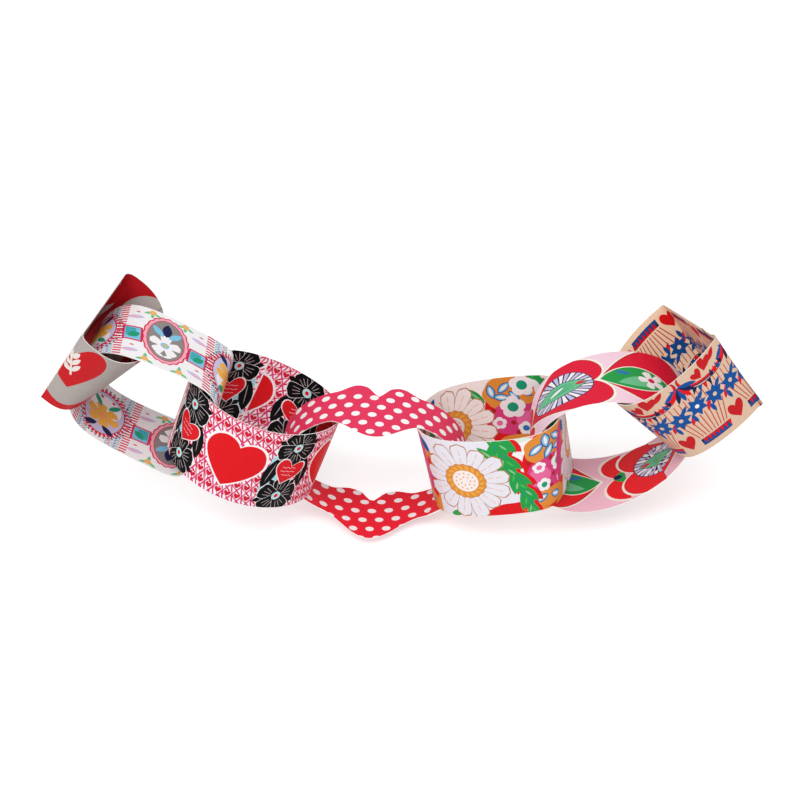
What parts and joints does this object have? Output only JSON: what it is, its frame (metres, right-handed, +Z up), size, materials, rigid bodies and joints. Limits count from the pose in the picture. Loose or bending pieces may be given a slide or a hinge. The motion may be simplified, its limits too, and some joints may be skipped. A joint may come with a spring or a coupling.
{
  "type": "paper chain garland",
  "caption": "Hanging paper chain: printed card strips closed into rings and looped through each other in a sagging swag, one strip cut with lip-shaped edges, the end rings pressed flat for tape.",
  "frame": {"origin": "middle of the outer face of the first link's pressed flat, mount left_end, where tape holds the left end of the swag", "axes": "+X along the swag from the first link to the last, +Z up as it hangs, -Y towards the room"},
  "size_m": [0.3021, 0.0768, 0.0999],
  "materials": {
    "cameo_red_card": "satin coated card, printed both sides",
    "white_medallion_card": "satin coated card, printed both sides",
    "heart_trellis_card": "satin coated card, printed both sides",
    "dotted_red_card": "satin coated card, printed both sides",
    "daisy_card": "satin coated card, printed both sides",
    "pink_heart_card": "satin coated card, printed both sides",
    "tan_bunting_card": "satin coated card, printed both sides"
  },
  "bodies": {
    "root": {"link_1_cameo_red": "cameo_red_card", "link_2_white_medallions": "white_medallion_card", "link_3_heart_trellis": "heart_trellis_card", "link_4_dotted_lips": "dotted_red_card", "link_5_daisies": "daisy_card", "link_6_pink_hearts": "pink_heart_card", "link_7_tan_bunting": "tan_bunting_card"}
  },
  "joints": []
}
